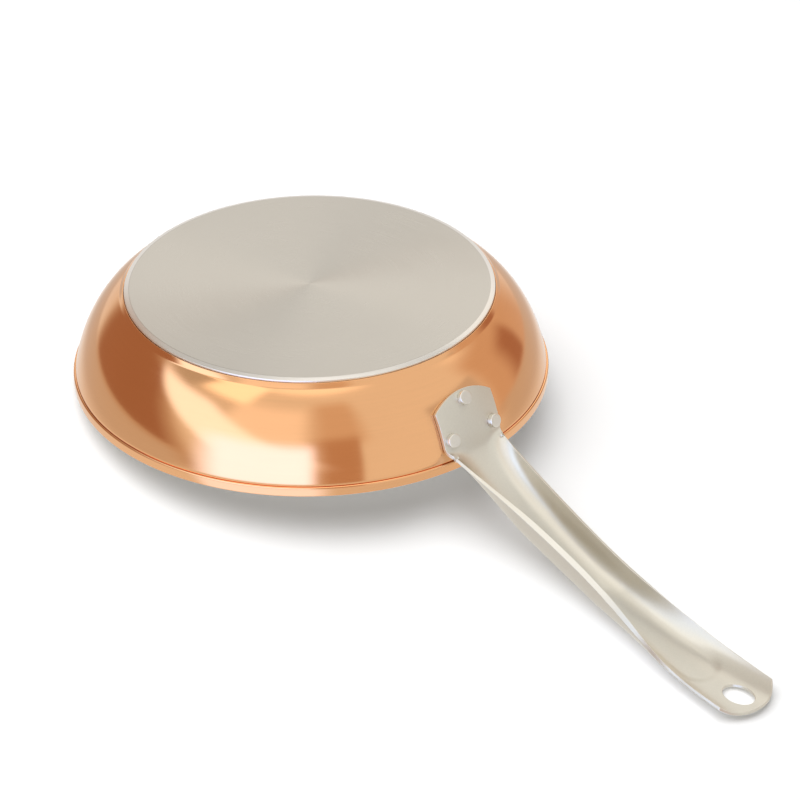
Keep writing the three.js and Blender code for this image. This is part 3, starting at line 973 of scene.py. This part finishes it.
class Studio:
    """World whose colour is built from panels, each with its own soft edges."""

    def __init__(self, name, colour):
        world = bpy.data.worlds.new(name)
        world.use_nodes = True
        # Metal mirrors the studio, and the lamps alone light what is matt
        world.cycles_visibility.diffuse = False
        bpy.context.scene.world = world
        self.nodes = world.node_tree.nodes
        self.links = world.node_tree.links
        ray = self.nodes.new("ShaderNodeTexCoord").outputs["Generated"]
        toward = self.along(ray, VIEW_TOWARD)
        right = self.along(ray, VIEW_RIGHT)
        above = self.along(ray, PICTURE_UP)
        self.heading = self.compute("DEGREES", self.compute("ARCTAN2", right, toward))
        self.height = self.compute("DEGREES", self.compute("ARCSINE", above))
        self.colour = (*colour, 1)

    def feed(self, socket, value):
        if isinstance(value, bpy.types.NodeSocket):
            self.links.new(value, socket)
        else:
            socket.default_value = value

    def along(self, ray, axis):
        node = self.nodes.new("ShaderNodeVectorMath")
        node.operation = "DOT_PRODUCT"
        self.links.new(ray, node.inputs[0])
        node.inputs[1].default_value = axis
        return node.outputs["Value"]

    def compute(self, operation, *values):
        node = self.nodes.new("ShaderNodeMath")
        node.operation = operation
        for socket, value in zip(node.inputs, values):
            self.feed(socket, value)
        return node.outputs[0]

    def step(self, value, edge, soft):
        """Rises smoothly from 0 to 1 over an edge."""
        node = self.nodes.new("ShaderNodeMapRange")
        node.interpolation_type = "SMOOTHSTEP"
        self.feed(node.inputs["Value"], value)
        node.inputs["From Min"].default_value = edge - soft / 2
        node.inputs["From Max"].default_value = edge + soft / 2
        return node.outputs["Result"]

    def panel(self, colour, heading, height, soft, lean=0.0):
        """Lays a panel over the studio; soft holds the widths of its left, right, lower and upper edges."""
        middle = (heading[0] + heading[1]) / 2
        half = (heading[1] - heading[0]) / 2
        left, right, lower, upper = soft
        depth = self.compute("MULTIPLY", self.height, -1.0)
        steps = [self.step(self.height, height[0], lower), self.step(depth, -height[1], upper)]
        if heading != ALL_ROUND:
            leaning = self.compute("MULTIPLY_ADD", self.height, -lean, self.heading)
            turn = self.compute("WRAP", self.compute("SUBTRACT", leaning, middle), 180.0, -180.0)
            back = self.compute("MULTIPLY", turn, -1.0)
            steps += [self.step(turn, -half, left), self.step(back, -half, right)]
        inside = steps[0]
        for step in steps[1:]:
            inside = self.compute("MULTIPLY", inside, step)
        mix = self.nodes.new("ShaderNodeMix")
        mix.data_type = "RGBA"
        self.feed(mix.inputs["Factor"], inside)
        self.feed(mix.inputs["A"], self.colour)
        mix.inputs["B"].default_value = (*colour, 1)
        self.colour = mix.outputs["Result"]

    def finish(self):
        """The camera itself sees plain white."""
        seen = self.nodes.new("ShaderNodeMix")
        seen.data_type = "RGBA"
        self.links.new(self.nodes.new("ShaderNodeLightPath").outputs["Is Camera Ray"], seen.inputs["Factor"])
        self.feed(seen.inputs["A"], self.colour)
        seen.inputs["B"].default_value = (1, 1, 1, 1)
        self.links.new(seen.outputs["Result"], self.nodes["Background"].inputs["Color"])


def set_studio():
    studio = Studio("studio", TENT)
    # Behind the pan: mirrored in the handle's channel, with a dark card between two light ones
    studio.panel((0.88, 0.86, 0.84), (140, 220), (-5, 60), (30, 30, 20, 20))
    studio.panel((1.24, 1.21, 1.14), (138, 190), (24, 47), (10, 14, 8, 4))
    studio.panel((1.08, 1.05, 0.99), (102, 130), (40, 70), (14, 8, 10, 8))
    studio.panel((0.10, 0.10, 0.09), (136, 152), (47, 60), (8, 8, 6, 6))
    # Left of the camera: far side of the channel, and the soft surround of the copper's highlight
    studio.panel((0.82, 0.80, 0.76), (-104, -48), (22, 68), (10, 10, 10, 6))
    studio.panel((1.15, 1.12, 1.10), (-46, -2), (14, 52), (12, 14, 10, 14))
    # Overhead: the disc
    studio.panel((1.40, 1.37, 1.30), ALL_ROUND, (68, 95), (NO_EDGE, NO_EDGE, 8, NO_EDGE))
    # High up: the handle's darker side, its bright edge strip and the front of the disc's bevel
    studio.panel((0.58, 0.56, 0.52), (-176, -80), (40, 73), (10, 12, 8, 6))
    studio.panel((1.65, 1.60, 1.50), (-78, -42), (50, 72), (8, 10, 8, 6))
    studio.panel((0.72, 0.70, 0.66), (158, 186), (50, 68), (8, 12, 5, 6))
    studio.panel((1.25, 1.22, 1.16), (173, 191), (56, 66), (6, 6, 4, 4))
    # Dark patches of the copper: left, right and beside the highlight, each with a soft surround
    studio.panel((0.62, 0.50, 0.40), (-140, -58), (-12, 41), (14, 14, 8, 12), lean=-0.7)
    studio.panel((0.40, 0.22, 0.14), (-136, -68), (-3, 40), (14, 16, NO_EDGE, 10), lean=-0.6)
    studio.panel((0.72, 0.56, 0.44), (96, 152), (-10, 38), (14, 20, 6, 16))
    studio.panel((0.44, 0.24, 0.16), (117, 132), (-4, 20), (14, 6, 4, 12))
    studio.panel((0.76, 0.62, 0.50), (2, 27), (18, 58), (16, 12, 10, 12))
    studio.panel((0.58, 0.38, 0.26), (3, 24), (-25, 24), (14, 4, NO_EDGE, 10))
    # Key light, cool: the copper's highlight, its upper part leaning
    studio.panel((1.5, 1.70, 2.05), (-36, 10), (4, 42), (12, 16, 14, 8), lean=-1.65)
    studio.panel((1.6, 1.95, 3.1), (-50, 1), (-16, 18), (20, 8, 8, 12))
    # The handle's tab
    studio.panel((0.66, 0.63, 0.60), (62, 95), (-8, 28), (4, 4, 3, 3))
    # From below, in place of the floor: the raised band at the rim and the sides that face down
    studio.panel((0.80, 0.78, 0.74), (-62, 100), (-95, -14), (20, 20, NO_EDGE, 8))
    studio.panel((1.25, 1.45, 1.95), (-56, 6), (-46, -24), (14, 14, 6, 6))
    studio.panel((0.66, 0.62, 0.58), (100, 298), (-24, -5), (20, 20, 8, 3))
    studio.panel((0.88, 0.87, 0.84), (100, 298), (-95, -20), (20, 20, NO_EDGE, 10))
    studio.panel((1.10, 1.10, 1.10), ALL_ROUND, (-95, -64), (NO_EDGE, NO_EDGE, NO_EDGE, 12))
    studio.finish()


def add_lamp(name, floor_up):
    """Wide soft lamp over a floor, which metal doesn't mirror."""
    data = bpy.data.lights.new(name, "AREA")
    data.shape = "DISK"
    data.size = LAMP_SIZE
    data.energy = LAMP_ENERGY
    lamp = bpy.data.objects.new(name, data)
    bpy.context.scene.collection.objects.link(lamp)
    place = Vector((RIM_RADIUS * MM, 0, 0)) - VIEW_RIGHT * LAMP_ASIDE + floor_up * LAMP_DISTANCE
    lamp.matrix_world = Matrix.Translation(place) @ facing(floor_up)
    lamp.visible_glossy = False


set_studio()
add_lamp("leaning_lamp", PHOTO_UP)
add_lamp("standing_lamp", UP)
bpy.context.scene.view_settings.view_transform = "Standard"
